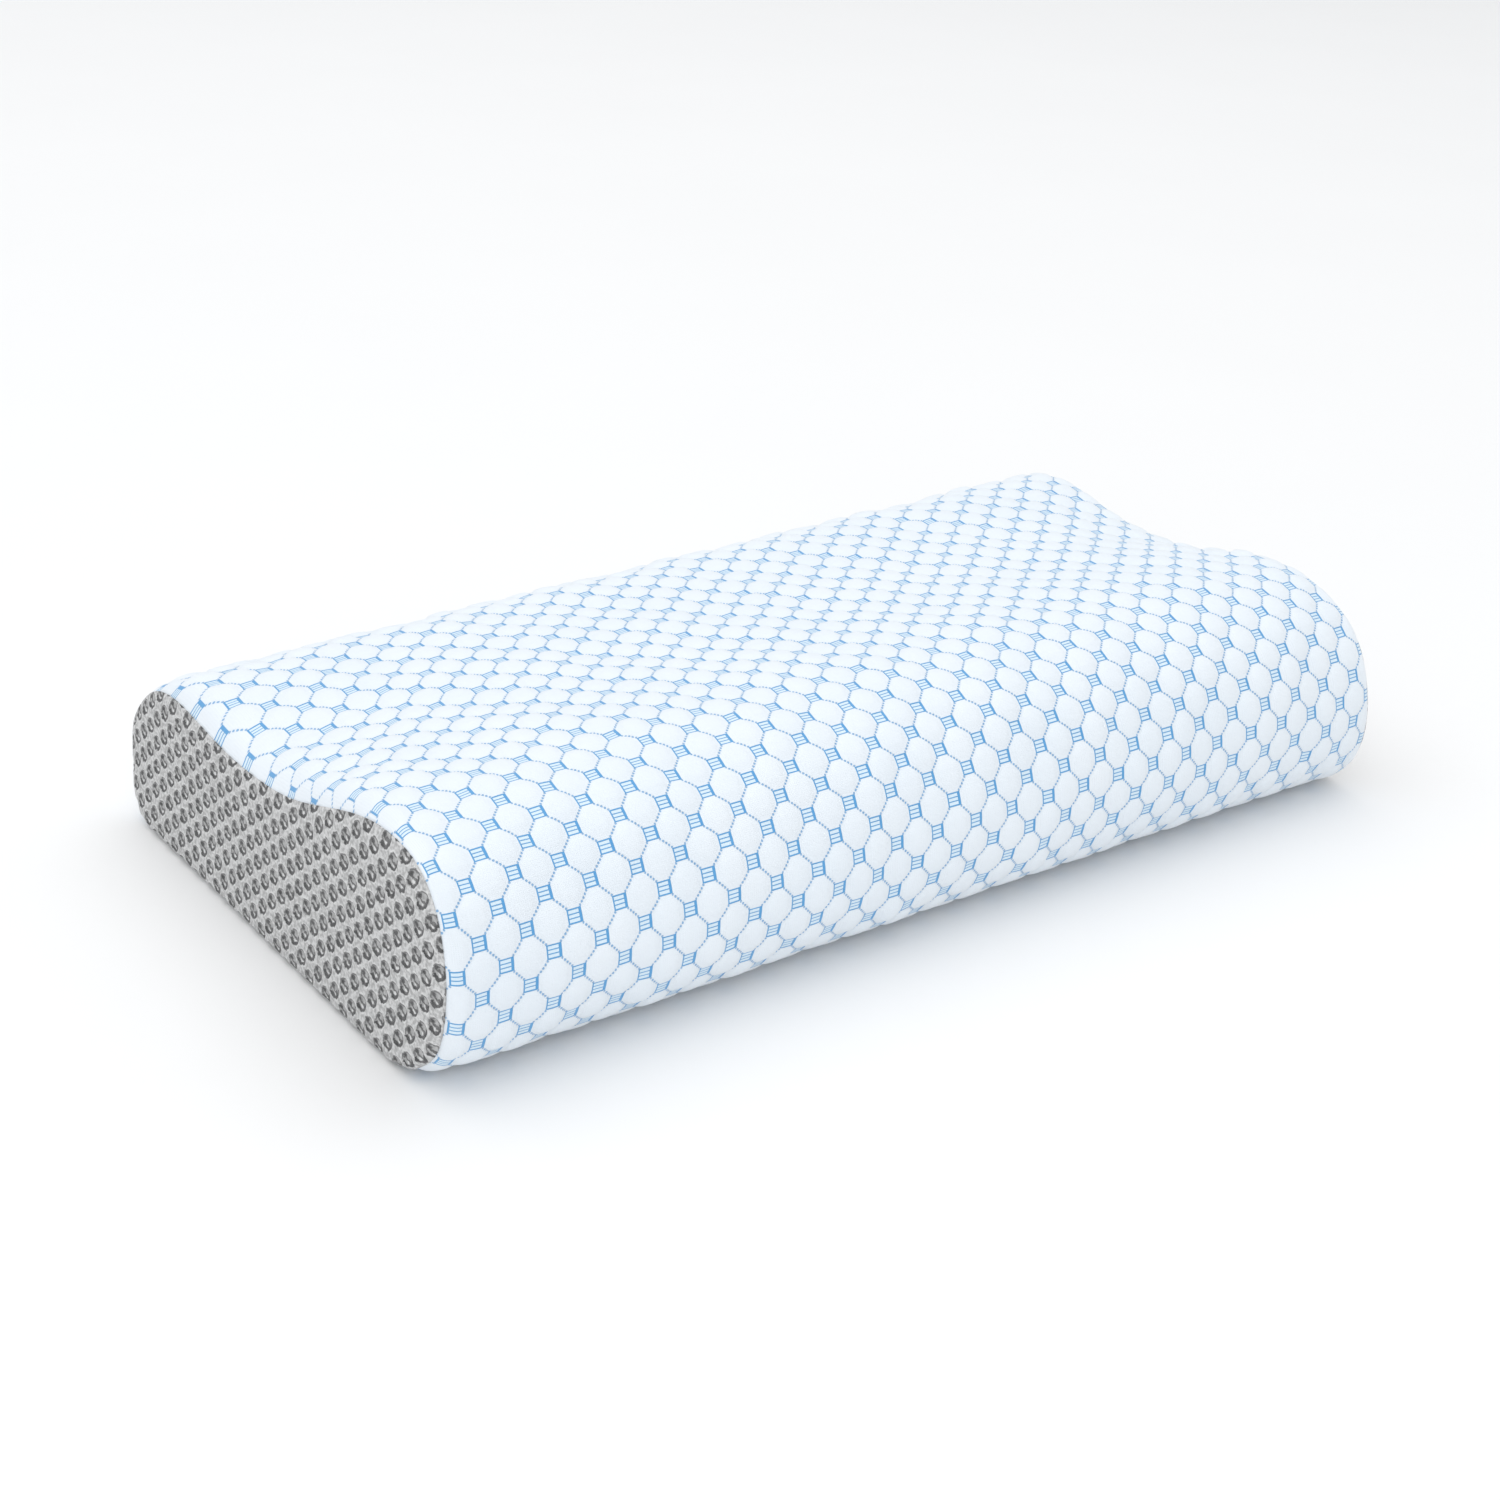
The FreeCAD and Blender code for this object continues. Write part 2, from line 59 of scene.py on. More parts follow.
# The grain of the quilting leans: towards the back, rows sit further along X than their lattice.
# Under the base it leans the other way, so that both edges meet at the zip.
LEAN_ROWS = (-22.0, -18.0, -14.0, -10.0, -7.0, -4.0, 8.0)
LEAN = (18.6, 15.4, 11.7, 6.2, 2.2, 0.0, 0.0)
LEAN_X = (-296.0, -284.0, -250.0, -150.0, 0.0, 296.0)
LEAN_SHARE = (0.35, 0.6, 0.8, 0.95, 1.0, 1.28)

# The sections: from the zip up over the back lobe, the hollow and the front lobe,
# and back along the base.
BACK = [(175, 32), (173.8, 47)]
BASE = [(0, 0), (120, 0), (150, 0.3), (165, 4.5), (172.5, 15)]
LEFT_SECTION = BACK + [
    (168.8, 60), (154, 76.5), (134, 90), (110, 95.2), (80, 93.3), (45, 90), (15, 90.4),
    (-22, 95), (-62, 107), (-103, 119), (-130, 121), (-150, 116.5), (-164, 105),
    (-172.5, 86), (-175.3, 65), (-173, 45), (-165.5, 25), (-153, 11.5), (-141, 4), (-118, 0),
] + BASE
MIDDLE_SECTION = BACK + [
    (168, 61), (152, 80), (128, 97.5), (100, 110), (72, 113), (32, 115), (-13, 117.5),
    (-53, 121.5), (-90, 125), (-122, 122), (-152, 105), (-169, 77), (-173.3, 54),
    (-169, 30), (-155.5, 10.7), (-136.5, 1.5), (-106, 0),
] + BASE
RIGHT_SECTION = BACK + [
    (170, 62), (160, 82), (146, 96), (128, 105), (104, 111.5), (82, 112), (60, 107),
    (38, 100.5), (10, 97), (-18, 100.5), (-48, 107.5), (-78, 114), (-104, 116), (-127, 110.5),
    (-147, 100), (-160.5, 84), (-168.3, 63), (-170.8, 46), (-168.5, 27), (-160, 12), (-148, 3),
    (-124, 0),
] + BASE
CORE_SECTION = [
    (168, 32), (166.6, 44), (160, 55), (146, 69), (128, 80), (106, 86), (80, 85.5), (45, 82.5),
    (15, 82.5), (-22, 87), (-60, 97), (-92, 106.5), (-119, 104), (-140, 92.5), (-155, 75),
    (-161.5, 56), (-160, 35), (-149, 17), (-130, 7.6), (-100, 7), (0, 7), (115, 7),
    (142, 7.2), (156, 10.5), (164, 18),
]

LAST_ALIGNED = (-1.8, 44.0)   # lattice columns between which mesh and quilt line up
END_COLUMNS = (6, 14)    # mesh columns from there to the left and right seams

SEAM_X = 296.0           # where the wrap's edge turns in at each end
BLEND_LENGTHS = (150.0, 90.0)   # how far from each seam the cover lets go of the end section
# lattice rows, and the share of that which the cover makes slowly
LEFT_SLOW = ((-24.0, -20.5, -16.0, -12.0, -8.0), (0.42, 0.52, 0.88, 0.68, 0.58))
RIGHT_SLOW = ((-16.0, -12.5, -8.0, -5.0), (0.58, 0.76, 0.70, 0.58))
# on the left end's back lobe the rows sit further round: rows, and how far in millimetres
LEFT_SHIFT = ((-30.0, -22.5, -20.0, -17.0), (0.0, 13.0, 11.0, 0.0))
SLOT_HALF = 5.0          # half the width of the zip opening
SLOT_END_X = 253.0
PULL_REACH = 29.0        # how far past the zip's ends the cover stays flat, to clear the pull tab
BACK_RISE = 0.0175       # how much the back lobe rises towards the right end
PANEL_INSET = 3.0        # how far inside the cover's outline an end panel starts


# ---------------------------------------------------------------- sections and surfaces

def closed_spline(points, count=2400):
    """A smooth closed curve through the points, as count points evenly spaced along it."""
    p = np.array(points, float)
    n = len(p)
    gap = np.linalg.norm(np.roll(p, -1, 0) - p, axis=1) ** 0.6
    matrix = np.zeros((n, n))
    right = np.zeros((n, 2))
    for k in range(n):
        before, after = gap[k - 1], gap[k]
        following = (k + 1) % n
        matrix[k, k - 1] += before
        matrix[k, k] += 2 * (before + after)
        matrix[k, following] += after
        right[k] = 6 * ((p[following] - p[k]) / after - (p[k] - p[k - 1]) / before)
    bend = np.linalg.solve(matrix, right)
    ends = np.r_[0, np.cumsum(gap)]
    at = np.linspace(0, ends[-1], 4 * count + 1)[:-1]
    k = np.clip(np.searchsorted(ends, at, side="right") - 1, 0, n - 1)
    x, h = (at - ends[k])[:, None], gap[k][:, None]
    following = (k + 1) % n
    fine = (
        p[k] * (1 - x / h) + p[following] * (x / h)
        + ((h - x) ** 3 / h - h * (h - x)) * bend[k] / 6
        + (x ** 3 / h - h * x) * bend[following] / 6
    )
    fine = np.vstack([fine, fine[:1]])
    along = np.r_[0, np.cumsum(np.linalg.norm(np.diff(fine, axis=0), axis=1))]
    even = np.linspace(0, along[-1], count + 1)[:-1]
    curve = np.stack([np.interp(even, along, fine[:, c]) for c in (0, 1)], 1)
    curve[:, 1] = np.maximum(curve[:, 1], 0)
    return curve, along[-1]


def sampled(curve, share):
    """Points of a closed curve at shares 0 to 1 of its length."""
    n = len(curve)
    at = (np.asarray(share) % 1.0) * n
    low = np.floor(at).astype(int)
    part = (at - low)[..., None]
    return curve[low % n] * (1 - part) + curve[(low + 1) % n] * part


def outward(curve, share):
    """Unit normals of a closed curve, pointing out of it."""
    ahead = sampled(curve, np.asarray(share) + 0.0012)
    behind = sampled(curve, np.asarray(share) - 0.0012)
    along = ahead - behind
    normal = np.stack([along[..., 1], -along[..., 0]], -1)
    return normal / np.linalg.norm(normal, axis=-1, keepdims=True)


LEFT, LEFT_LENGTH = closed_spline(LEFT_SECTION)
RIGHT, RIGHT_LENGTH = closed_spline(RIGHT_SECTION)
ENDS = {-1: LEFT, 1: RIGHT}
END_LENGTHS = {-1: LEFT_LENGTH, 1: RIGHT_LENGTH}
MIDDLE, MIDDLE_LENGTH = closed_spline(MIDDLE_SECTION)
CORE, CORE_LENGTH = closed_spline(CORE_SECTION)
LENGTH = MIDDLE_LENGTH
# Row 0 of the quilt crosses the front face 90 mm above the base.
FRONT = MIDDLE[:, 0] < -120
ROW_ZERO = LENGTH * np.where(FRONT & (MIDDLE[:, 1] > 90))[0].max() / len(MIDDLE)
LAST_ROW = (LENGTH - ROW_ZERO) / LOW_ROW


def smooth(t):
    t = np.clip(t, 0, 1)
    return t * t * (3 - 2 * t)


def bridging(x, row):
    """0 at a seam, where the cover follows the end section, to 1 where it spans the hollow.

    Part of the way is made within a few millimetres of the seam and the rest slowly. The slow part
    is larger on the flank of the hollow than on the lobes."""
    distance = np.maximum(SEAM_X - np.abs(x), 0)
    reach = np.where(x < 0, *BLEND_LENGTHS)
    slow = np.where(x < 0, np.interp(row, *LEFT_SLOW), np.interp(row, *RIGHT_SLOW))
    near = (1 - slow) * np.exp(-distance / 5.0)
    far = slow * np.clip(1 - distance / reach, 0, 1) ** 1.6
    return 1 - near - far


def undulation(x, along):
    """The slow unevenness of a cover pulled over foam, about a millimetre."""
    waves = ((71, 97, 0.4, 0.45), (113, -83, 1.9, 0.4), (-46, 61, 4.1, 0.3), (29, 140, 2.6, 0.22))
    total = 0
    for wave_x, wave_y, phase, size in waves:
        total = total + size * np.sin(2 * np.pi * (x / wave_x + along / wave_y) + phase)
    return total


def quilt_row(along):
    """Lattice row at a distance round the section; the cover is stretched below row 0."""
    past = along - ROW_ZERO
    return np.where(past > 0, past / LOW_ROW, past / ROW)


def grain_lean(row, x):
    """How far the quilting is carried along X at a lattice row."""
    lean = np.interp(row, LEAN_ROWS + (LAST_ROW,), LEAN + (LEAN[0],))
    return lean * np.interp(x, LEAN_X, LEAN_SHARE)


CELL_VARIETY = np.random.default_rng(11).uniform(0.86, 1.12, (128, 128))


def puffs(p, q):
    """Height of the quilting at lattice place (p, q), from 0 in a channel to 1 on a cell."""
    r, t = p + q, p - q
    r_middle, t_middle = 2 * np.floor(r / 2) + 1, 2 * np.floor(t / 2) + 1
    across, along = np.abs(r - r_middle), np.abs(t - t_middle)
    height = (1 - across ** 3.0) ** 0.8 * (1 - along ** 3.0) ** 0.8
    r_off, t_off = r - 2 * np.round(r / 2), t - 2 * np.round(t / 2)
    beside = np.abs(r_off + t_off) * COLUMN / 2 - SQUARE_HALF_X
    above = np.abs(r_off - t_off) * ROW / 2 - SQUARE_HALF_Y
    height = height * smooth((np.maximum(beside, above) - 0.4) / 2.6)
    return height * CELL_VARIETY[r_middle.astype(int) % 128, t_middle.astype(int) % 128]


# ---------------------------------------------------------------- mesh making

def make_object(name, points, faces, material, uv=None):
    """A mesh object from millimetre points and faces of three or four corners."""
    mesh = bpy.data.meshes.new(name)
    faces = [list(map(int, f)) for f in faces]
    mesh.from_pydata((np.asarray(points, float) * MM).tolist(), [], faces)
    mesh.polygons.foreach_set("use_smooth", [True] * len(mesh.polygons))
    if uv is not None:
        layer = mesh.uv_layers.new(name=PATTERN)
        corner = np.zeros(len(mesh.loops), np.int32)
        mesh.loops.foreach_get("vertex_index", corner)
        layer.data.foreach_set("uv", np.asarray(uv, np.float32)[corner].ravel())
    mesh.validate()
    mesh.update()
    mesh.materials.append(material)
    made = bpy.data.objects.new(name, mesh)
    bpy.context.scene.collection.objects.link(made)
    return made


def band(start, following, count):
    """Faces between two rings of count points each, given where their points start."""
    pairs = [(c, (c + 1) % count) for c in range(count)]
    return [(start + c, start + d, following + d, following + c) for c, d in pairs]


def tube_points(path, radius, sides):
    """Points and faces of a round tube along an open path."""
    path = np.asarray(path, float)
    n = len(path)
    tangent = np.gradient(path, axis=0)
    tangent /= np.linalg.norm(tangent, axis=1, keepdims=True)
    guide = np.where(np.abs(tangent[:, :1]) > 0.9, [[0.0, 1.0, 0.0]], [[1.0, 0.0, 0.0]])
    side = np.cross(tangent, guide)
    side /= np.linalg.norm(side, axis=1, keepdims=True)
    other = np.cross(tangent, side)
    angle = np.linspace(0, 2 * np.pi, sides, endpoint=False)
    size = np.broadcast_to(np.asarray(radius, float), (n,))[:, None, None]
    ring = np.cos(angle)[None, :, None] * side[:, None]
    ring = ring + np.sin(angle)[None, :, None] * other[:, None]
    points = (path[:, None] + size * ring).reshape(-1, 3)
    faces = []
    for k in range(n - 1):
        faces += band(k * sides, (k + 1) * sides, sides)
    faces.append(tuple(range(sides))[::-1])
    faces.append(tuple(range((n - 1) * sides, n * sides)))
    return points, faces


def joined(parts):
    """Several (points, faces) as one."""
    points, faces, start = [], [], 0
    for p, f in parts:
        points.append(p)
        faces.extend([tuple(i + start for i in face) for face in f])
        start += len(p)
    return np.vstack(points), faces


def stitch(start, end, middle, radius):
    """One stitch: a short thread from start to end that bows out to middle and tapers in."""
    share = np.linspace(0, 1, 7)[:, None]
    start, end, middle = (np.asarray(v, float) for v in (start, end, middle))
    bow = middle - (start + end) / 2
    path = start + (end - start) * share + bow * np.sin(np.pi * share) ** 0.7
    size = radius * (0.45 + 0.55 * np.sin(np.pi * share[:, 0]) ** 0.5)
    return tube_points(path, size, sides=6)


# ---------------------------------------------------------------- materials

class Nodes:
    """Short calls for building one material's nodes."""

    def __init__(self, name, roughness, sheen=0.0, metallic=0.0):
        self.material = bpy.data.materials.new(name)
        self.material.use_nodes = True
        self.tree = self.material.node_tree
        self.shader = self.tree.nodes["Principled BSDF"]
        self.shader.inputs["Roughness"].default_value = roughness
        self.shader.inputs["Sheen Weight"].default_value = sheen
        self.shader.inputs["Sheen Roughness"].default_value = 0.5
        self.shader.inputs["Metallic"].default_value = metallic
        self.shader.inputs["Specular IOR Level"].default_value = 0.25 if metallic == 0 else 0.5

    def set(self, socket, value):
        if hasattr(value, "is_linked") or hasattr(value, "links"):
            self.tree.links.new(value, socket)
        else:
            socket.default_value = value

    def math(self, kind, a, b=0.0, c=0.0, clamp=False):
        node = self.tree.nodes.new("ShaderNodeMath")
        node.operation = kind
        node.use_clamp = clamp
        for socket, value in zip(node.inputs, (a, b, c)):
            self.set(socket, value)
        return node.outputs[0]

    def add(self, a, b):
        return self.math("ADD", a, b)

    def sub(self, a, b):
        return self.math("SUBTRACT", a, b)

    def mul(self, a, b):
        return self.math("MULTIPLY", a, b)

    def size(self, a):
        return self.math("ABSOLUTE", a)

    def hypot(self, a, b):
        return self.math("SQRT", self.add(self.mul(a, a), self.mul(b, b)))

    def under(self, value, limit, soft):
        """1 well below limit, 0 well above, over a soft edge."""
        node = self.tree.nodes.new("ShaderNodeMapRange")
        node.interpolation_type = "SMOOTHSTEP"
        self.set(node.inputs["Value"], value)
        self.set(node.inputs["From Min"], limit - soft)
        self.set(node.inputs["From Max"], limit + soft)
        node.inputs["To Min"].default_value = 1
        node.inputs["To Max"].default_value = 0
        return node.outputs[0]

    def both(self, a, b):
        return self.math("MINIMUM", a, b)

    def either(self, a, b):
        return self.math("MAXIMUM", a, b)

    def uv(self):
        node = self.tree.nodes.new("ShaderNodeUVMap")
        node.uv_map = PATTERN
        split = self.tree.nodes.new("ShaderNodeSeparateXYZ")
        self.tree.links.new(node.outputs[0], split.inputs[0])
        return split.outputs[0], split.outputs[1]

    def place(self):
        return self.tree.nodes.new("ShaderNodeTexCoord").outputs["Object"]

    def noise(self, vector, scale, detail=3.0):
        node = self.tree.nodes.new("ShaderNodeTexNoise")
        self.set(node.inputs["Vector"], vector)
        node.inputs["Scale"].default_value = scale
        node.inputs["Detail"].default_value = detail
        return node.outputs[0]

    def stretch(self, vector, scale):
        node = self.tree.nodes.new("ShaderNodeVectorMath")
        node.operation = "MULTIPLY"
        self.set(node.inputs[0], vector)
        node.inputs[1].default_value = scale
        return node.outputs[0]

    def mix(self, share, a, b):
        node = self.tree.nodes.new("ShaderNodeMix")
        node.data_type = "RGBA"
        self.set(node.inputs["Factor"], share)
        self.set(node.inputs[6], (*a, 1.0) if isinstance(a, tuple) else a)
        self.set(node.inputs[7], (*b, 1.0) if isinstance(b, tuple) else b)
        return node.outputs[2]

    def bump(self, height, distance, strength=1.0):
        node = self.tree.nodes.new("ShaderNodeBump")
        node.inputs["Strength"].default_value = strength
        node.inputs["Distance"].default_value = distance
        self.set(node.inputs["Height"], height)
        self.tree.links.new(node.outputs[0], self.shader.inputs["Normal"])

    def colour(self, value):
        self.set(self.shader.inputs["Base Color"], value)

    def rough(self, value):
        self.set(self.shader.inputs["Roughness"], value)


def knit_height(n, u, v, wale, course):
    """The loops of a fine knit: ribs of wale width, broken into courses."""
    rib = n.math("SINE", n.mul(u, 2 * math.pi / wale))
    slant = n.mul(n.size(rib), 0.9)
    loop = n.math("SINE", n.add(n.mul(v, 2 * math.pi / course), slant))
    return n.add(n.mul(rib, 0.5), n.mul(loop, 0.5))


def quilt_material():
    n = Nodes("quilted_jacquard_knit", 0.86, sheen=0.4)
    p, q = n.uv()
    r, t = n.add(p, q), n.sub(p, q)
    r_off = n.sub(r, n.mul(n.math("ROUND", n.mul(r, 0.5)), 2.0))
    t_off = n.sub(t, n.mul(n.math("ROUND", n.mul(t, 0.5)), 2.0))
    dx = n.mul(n.add(r_off, t_off), COLUMN / 2)
    dy = n.mul(n.sub(r_off, t_off), ROW / 2)
    side, rise = n.size(dx), n.size(dy)

    # the woven square: an outline, two bars inside, and a heavier right side
    edge = 0.12
    inside = n.both(n.under(side, SQUARE_HALF_X, edge), n.under(rise, SQUARE_HALF_Y, edge))
    hollow = n.both(n.under(side, SQUARE_HALF_X - 0.75, edge),
                    n.under(rise, SQUARE_HALF_Y - 0.65, edge))
    bar = n.under(n.size(n.sub(rise, 0.9)), 0.24, edge)
    heavy = n.under(n.size(n.sub(dx, SQUARE_HALF_X - 0.7)), 0.7, edge)
    ink = n.both(inside, n.either(n.either(n.sub(1.0, hollow), bar), heavy))

    # short dashes along the channels between squares
    diagonal = math.hypot(COLUMN, ROW) / 2
    dots = None
    for line, way in ((r_off, t_off), (t_off, r_off)):
        off_line = n.mul(n.size(line), diagonal)
        from_middle = n.mul(n.sub(1.0, n.size(way)), diagonal)
        beat = n.size(n.sub(n.math("FRACT", n.add(n.mul(from_middle, 1 / DASH_PITCH), 0.5)), 0.5))
        spot = n.under(n.hypot(n.mul(beat, DASH_PITCH), off_line), DASH_RADIUS, 0.16)
        spot = n.both(spot, n.under(from_middle, 3.9, 0.2))
        dots = spot if dots is None else n.either(dots, spot)
    # painted shade: a pale blue-grey tint along the channel grooves between the cells
    near = n.both(n.mul(n.size(r_off), diagonal), n.mul(n.size(t_off), diagonal))
    channel = n.under(near, 0.6, 1.2)

    place = n.place()
    soft_tone = n.noise(place, 22.0)
    white = n.mix(soft_tone, (0.775, 0.84, 0.905), (0.84, 0.885, 0.93))
    white = n.mix(n.mul(channel, 0.26), white, (0.62, 0.76, 0.93))
    cloth = n.mix(n.mul(inside, 0.6), white, (0.64, 0.83, 0.96))
    cloth = n.mix(n.mul(dots, 0.9), cloth, (0.20, 0.42, 0.70))
    yarn = n.noise(place, 900.0, 2.0)
    blue = n.mix(yarn, (0.05, 0.27, 0.60), (0.10, 0.38, 0.71))
    n.colour(n.mix(n.mul(ink, 0.95), cloth, blue))

    u_mm, v_mm = n.mul(p, COLUMN), n.mul(q, ROW)
    knit = knit_height(n, u_mm, v_mm, 1.05, 0.85)
    fuzz = n.noise(place, 1400.0, 2.0)
    raised = n.add(n.mul(ink, 0.9), n.mul(dots, -1.4))
    n.bump(n.add(n.add(n.mul(knit, 0.30), n.mul(fuzz, 0.5)), raised), 0.00022, 0.8)
    return n.material


# The spacer mesh: eyelets on a slanted lattice, each an oval hole that an S-shaped thread crosses.
# The steps and the two half axes of an oval are (y, z).
EYELET_STEPS = ((-9.9, 7.15), (2.4, -14.5))
EYELET_AXES = ((-4.4, 2.35), (1.41, 3.9))
EYELET_DEPTH = 0.6
THREAD_SWING = 0.36      # how far the S swings, as a share of the oval


def inverse(first, second):
    """The rows of the inverse of the matrix whose columns are first and second."""
    span = first[0] * second[1] - second[0] * first[1]
    return (second[1] / span, -second[0] / span), (-first[1] / span, first[0] / span)


def eyelet_places(y, z):
    """Coordinates in the nearest eyelet's oval, where its edge is at distance 1."""
    rows = inverse(*EYELET_STEPS)
    first, second = (row[0] * y + row[1] * z for row in rows)
    first, second = first - np.round(first), second - np.round(second)
    dy = EYELET_STEPS[0][0] * first + EYELET_STEPS[1][0] * second
    dz = EYELET_STEPS[0][1] * first + EYELET_STEPS[1][1] * second
    return [row[0] * dy + row[1] * dz for row in inverse(*EYELET_AXES)]


def eyelet_depth(y, z):
    """How far the mesh fabric sinks at (y, z): 0 on the yarn, 1 in a hole."""
    u, v = eyelet_places(y, z)
    radius = np.hypot(u, v)
    hole = smooth((1.05 - radius) / 0.35)
    crossing = smooth((0.30 - np.abs(u + 0.02)) / 0.2) * smooth((0.8 - np.abs(v + 0.45)) / 0.4)
    rim = np.exp(-((radius - 1.15) / 0.14) ** 2)
    return hole * (1 - 0.6 * crossing) - 0.25 * rim


def mesh_material():
    n = Nodes("spacer_air_mesh", 0.8, sheen=0.12)
    y, z = n.uv()

    def across(rows, a, b):
        return [n.add(n.mul(a, row[0]), n.mul(b, row[1])) for row in rows]

    first, second = (n.sub(c, n.math("ROUND", c)) for c in across(inverse(*EYELET_STEPS), y, z))
    dy = n.add(n.mul(first, EYELET_STEPS[0][0]), n.mul(second, EYELET_STEPS[1][0]))
    dz = n.add(n.mul(first, EYELET_STEPS[0][1]), n.mul(second, EYELET_STEPS[1][1]))
    u, v = across(inverse(*EYELET_AXES), dy, dz)
    place = n.place()
    u = n.add(u, n.mul(n.sub(n.noise(place, 430.0, 2.0), 0.5), 0.75))
    v = n.add(v, n.mul(n.sub(n.noise(n.stretch(place, (1.0, 1.3, 1.7)), 300.0, 2.0), 0.5), 0.6))
    radius = n.hypot(u, v)
    inside = n.under(radius, 1.0, 0.06)
    # a loop of yarn lies in the lower half with a dark gap round it, and a dark S runs up from it;
    # these darks, the pit and the ring edges are painted shade in the eyelet's hole
    lower = n.under(v, 0.05, 0.12)
    edge = n.both(n.under(n.size(n.sub(radius, 0.80)), 0.20, 0.08), lower)
    swing = n.mul(n.math("SINE", n.mul(v, math.pi)), THREAD_SWING)
    spine = n.both(n.under(n.size(n.add(u, swing)), 0.20, 0.10), n.under(n.size(v), 0.7, 0.1))
    pit = n.under(n.hypot(n.add(u, 0.28), n.mul(n.sub(v, 0.52), 1.2)), 0.36, 0.14)
    lid = n.both(n.under(n.size(n.sub(radius, 0.88)), 0.12, 0.08),
                 n.under(n.sub(0.0, v), -0.1, 0.1))
    outer = n.either(edge, n.mul(lid, 0.7))
    dark = n.mul(inside, n.either(outer, n.either(n.mul(spine, 0.9), pit)))
    yarn = n.noise(n.stretch(place, (1.0, 1.0, 0.45)), 900.0, 2.0)
    patch = n.noise(place, 260.0, 2.0)
    fibre = n.noise(place, 520.0, 3.0)
    light = n.mix(n.under(fibre, 0.5, 0.16), (0.74, 0.74, 0.74), (0.36, 0.36, 0.36))
    light = n.mix(n.mul(yarn, 0.6), light, (0.58, 0.58, 0.58))
    # painted shade: the inside of each oval is darkened
    shaded = n.mix(n.mul(inside, 0.45), light, (0.30, 0.30, 0.30))
    strand = n.both(n.under(n.size(n.sub(u, 0.02)), 0.24, 0.12),
                    n.under(n.size(n.add(v, 0.45)), 0.34, 0.12))
    shaded = n.mix(n.mul(strand, 0.85), shaded, (0.80, 0.80, 0.80))
    # a painted highlight: a light rim along one side of each oval
    rim = n.both(n.under(n.size(n.sub(radius, 1.13)), 0.07, 0.07), n.under(n.sub(0.0, u), 0.1, 0.3))
    shaded = n.mix(n.mul(rim, 0.6), shaded, (0.84, 0.84, 0.84))
    # the painted shade of the holes, made a little uneven by patch
    painted_hole_shade = n.mul(dark, n.add(n.mul(patch, 0.4), 0.66))
    n.colour(n.mix(painted_hole_shade, shaded, (0.035, 0.035, 0.037)))
    knit = knit_height(n, y, z, 1.1, 0.9)
    n.bump(n.add(n.mul(knit, 0.5), n.mul(yarn, 0.8)), 0.0003, 0.8)
    return n.material


def thread_material(name, colour, twist=2600.0):
    n = Nodes(name, 0.6, sheen=0.1)
    place = n.place()
    ply = n.noise(n.stretch(place, (1.0, 0.35, 0.35)), twist, 1.0)
    dull = tuple(0.72 * c for c in colour)
    n.colour(n.mix(ply, dull, colour))
    n.bump(ply, 0.0001, 0.7)
    return n.material


def tape_material():
    """Woven herringbone tape."""
    n = Nodes("zip_tape_weave", 0.8, sheen=0.15)
    u, v = n.uv()
    zig = n.size(n.sub(n.math("FRACT", n.mul(v, 1 / 2.4)), 0.5))
    twill = n.math("SINE", n.mul(n.add(u, n.mul(zig, 3.2)), 2 * math.pi / 0.8))
    speck = n.noise(n.place(), 1200.0, 2.0)
    tone = n.add(n.mul(twill, 0.2), n.mul(speck, 0.8))
    n.colour(n.mix(tone, (0.66, 0.69, 0.74), (0.86, 0.88, 0.91)))
    n.bump(n.add(n.mul(twill, 0.6), n.mul(speck, 0.4)), 0.00015, 0.8)
    return n.material


def tricot_material():
    n = Nodes("liner_tricot_knit", 0.82, sheen=0.15)
    u, v = n.uv()
    knit = knit_height(n, u, v, 1.3, 1.0)
    speck = n.noise(n.place(), 700.0, 2.0)
    n.colour(n.mix(speck, (0.74, 0.74, 0.71), (0.88, 0.88, 0.86)))
    n.bump(n.add(n.mul(knit, 0.5), n.mul(speck, 0.4)), 0.0002, 0.7)
    return n.material


def foam_material():
    """Slow-recovery foam: a pale cream, fine open cells with painted shade in their pores, and a
    moulded skin.
    """
    n = Nodes("memory_foam_cells", 0.92)
    place = n.place()
    cells = n.tree.nodes.new("ShaderNodeTexVoronoi")
    n.set(cells.inputs["Vector"], place)
    cells.inputs["Scale"].default_value = 900.0
    cloud = n.noise(place, 14.0, 4.0)
    base = n.mix(cloud, (0.80, 0.74, 0.58), (0.88, 0.83, 0.69))
    # painted shade in the open cells' pores
    n.colour(n.mix(n.under(cells.outputs["Distance"], 0.22, 0.12), base, (0.55, 0.49, 0.36)))
    n.bump(n.add(cells.outputs["Distance"], n.mul(cloud, 0.6)), 0.0004, 0.7)
    return n.material


def coil_material():
    n = Nodes("zip_nylon_coil", 0.38)
    speck = n.noise(n.place(), 500.0, 2.0)
    n.colour(n.mix(speck, (0.74, 0.77, 0.82), (0.85, 0.87, 0.90)))
    n.rough(n.add(n.mul(speck, 0.2), 0.28))
    n.bump(speck, 0.00005, 0.5)
    return n.material


def metal_material():
    """Satin nickel plate with fine brushing and small dull patches from handling."""
    n = Nodes("zip_satin_nickel", 0.3, metallic=1.0)
    place = n.place()
    brushing = n.noise(n.stretch(place, (1.0, 9.0, 9.0)), 700.0, 2.0)
    wear = n.noise(place, 260.0, 3.0)
    n.colour(n.mix(wear, (0.56, 0.56, 0.55), (0.74, 0.74, 0.72)))
    n.rough(n.add(n.mul(brushing, 0.22), n.add(n.mul(wear, 0.16), 0.16)))
    n.bump(n.add(n.mul(brushing, 0.6), n.mul(wear, 0.4)), 0.00006, 0.6)
    return n.material


def floor_material():
    n = Nodes("studio_floor", 0.9)
    tone = n.noise(n.place(), 3.0)
    n.colour(n.mix(tone, (0.90, 0.90, 0.90), (0.92, 0.92, 0.92)))
    return n.material


